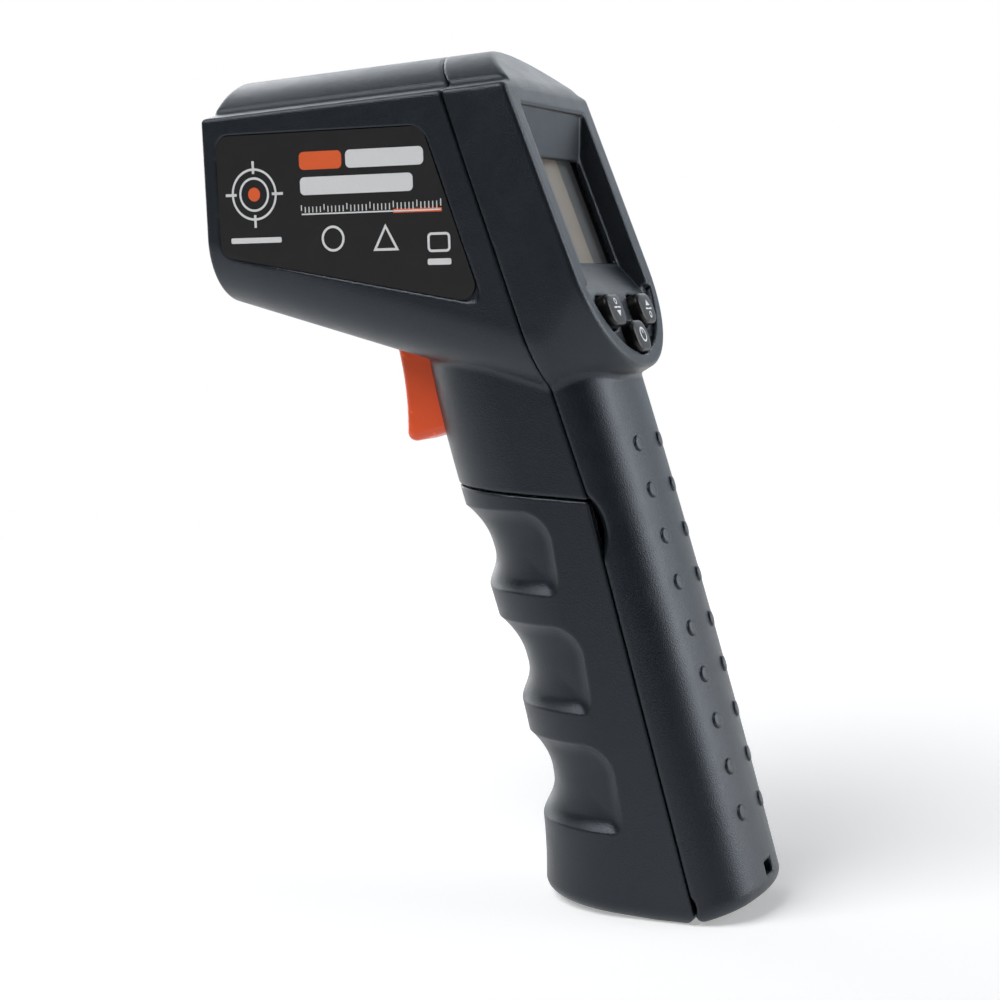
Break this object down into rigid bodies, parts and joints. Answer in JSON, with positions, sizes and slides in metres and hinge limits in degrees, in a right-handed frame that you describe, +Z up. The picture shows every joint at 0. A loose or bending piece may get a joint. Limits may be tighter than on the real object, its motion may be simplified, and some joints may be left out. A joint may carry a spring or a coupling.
{
  "type": "infrared thermometer",
  "caption": "Handheld pistol-shaped infrared thermometer with a hooded display, rubber keys, orange trigger and hinged battery door with finger grooves.",
  "frame": {"origin": "middle of the flat base of the handle, on the plane of symmetry", "axes": "+Z up; nose (sensor end) towards -X, display towards +X; the object's left side faces -Y"},
  "size_m": [0.1014, 0.0422, 0.1551],
  "materials": {
    "dark_plastic": "fine moulded texture, matte",
    "black_plastic": "matte",
    "orange_plastic": "satin",
    "key_rubber": "satin",
    "strip_rubber": "satin",
    "carbon": "matte",
    "label": "smooth satin film",
    "window": "clear",
    "lcd": "satin",
    "light_panel": "translucent white",
    "lens": "coated",
    "lens_clear": "clear",
    "can_metal": "bright",
    "brass": "satin",
    "steel": "satin",
    "screw_steel": "zinc plated",
    "circuit_board": "solder mask",
    "chip_plastic": "matte",
    "switch_plastic": "matte",
    "snap_plastic": "matte",
    "battery_case": "printed film over a jacket",
    "wire_black": "satin",
    "wire_red": "satin"
  },
  "bodies": {
    "housing": {"front_shell": "dark_plastic", "rear_shell": "dark_plastic", "door_hinge_pin": "steel", "label_left": "label", "label_right": "label", "nose_plate": "black_plastic", "sensor_horn": "black_plastic", "sensor_holder": "black_plastic", "infrared_lens": "lens", "thermopile_sensor": "can_metal", "sensor_board": "circuit_board", "laser_barrel": "brass", "laser_lens": "lens_clear", "laser_board": "circuit_board", "trigger_pin": "steel", "trigger_spring": "steel", "trigger_switch": "switch_plastic", "display_window": "window", "lcd_glass": "lcd", "contact_strips": "strip_rubber", "backlight_panel": "light_panel", "main_board": "circuit_board", "board_components": "chip_plastic", "buzzer": "black_plastic", "board_screws": "screw_steel", "side_screws": "screw_steel", "keypad_mat": "key_rubber", "battery": "battery_case", "battery_snap": "snap_plastic", "battery_lead_black": "wire_black", "battery_lead_red": "wire_red"},
    "door": {"battery_door": "dark_plastic"},
    "trigger": {"trigger": "orange_plastic"},
    "plunger": {"switch_plunger": "switch_plastic"},
    "left_key": {"key_left": "key_rubber", "key_contact_left": "carbon"},
    "right_key": {"key_right": "key_rubber", "key_contact_right": "carbon"},
    "mode_key": {"key_mode": "key_rubber", "key_contact_mode": "carbon"}
  },
  "joints": [
    {"name": "door_hinge", "type": "hinge", "parent": "housing", "child": "door", "pos_m": [0.0089, 0, 0.0029], "axis": [0, -1, 0], "range_deg": [0, 70]},
    {"name": "trigger_pull", "type": "hinge", "parent": "housing", "child": "trigger", "pos_m": [-0.045, 0, 0.1066], "axis": [0, -1, 0], "range_deg": [0, 6], "stiffness_Nm_per_rad": 0.25, "springref_deg": -5.73, "deforming": ["trigger_spring"]},
    {"name": "plunger_slide", "type": "slide", "parent": "housing", "child": "plunger", "axis": [0, 0, 1], "range_m": [0, 0.0013]},
    {"name": "left_key_press", "type": "slide", "parent": "housing", "child": "left_key", "axis": [-0.9343, 0, -0.3564], "range_m": [0, 0.0008], "stiffness_N_per_m": 300, "springref_m": -0.0005},
    {"name": "right_key_press", "type": "slide", "parent": "housing", "child": "right_key", "axis": [-0.9343, 0, -0.3564], "range_m": [0, 0.0008], "stiffness_N_per_m": 300, "springref_m": -0.0005},
    {"name": "mode_key_press", "type": "slide", "parent": "housing", "child": "mode_key", "axis": [-0.9343, 0, -0.3564], "range_m": [0, 0.0008], "stiffness_N_per_m": 300, "springref_m": -0.0005}
  ],
  "couplings": [
    {"joint": "plunger_slide", "follows": "trigger_pull", "m_per_rad": 0.012}
  ]
}
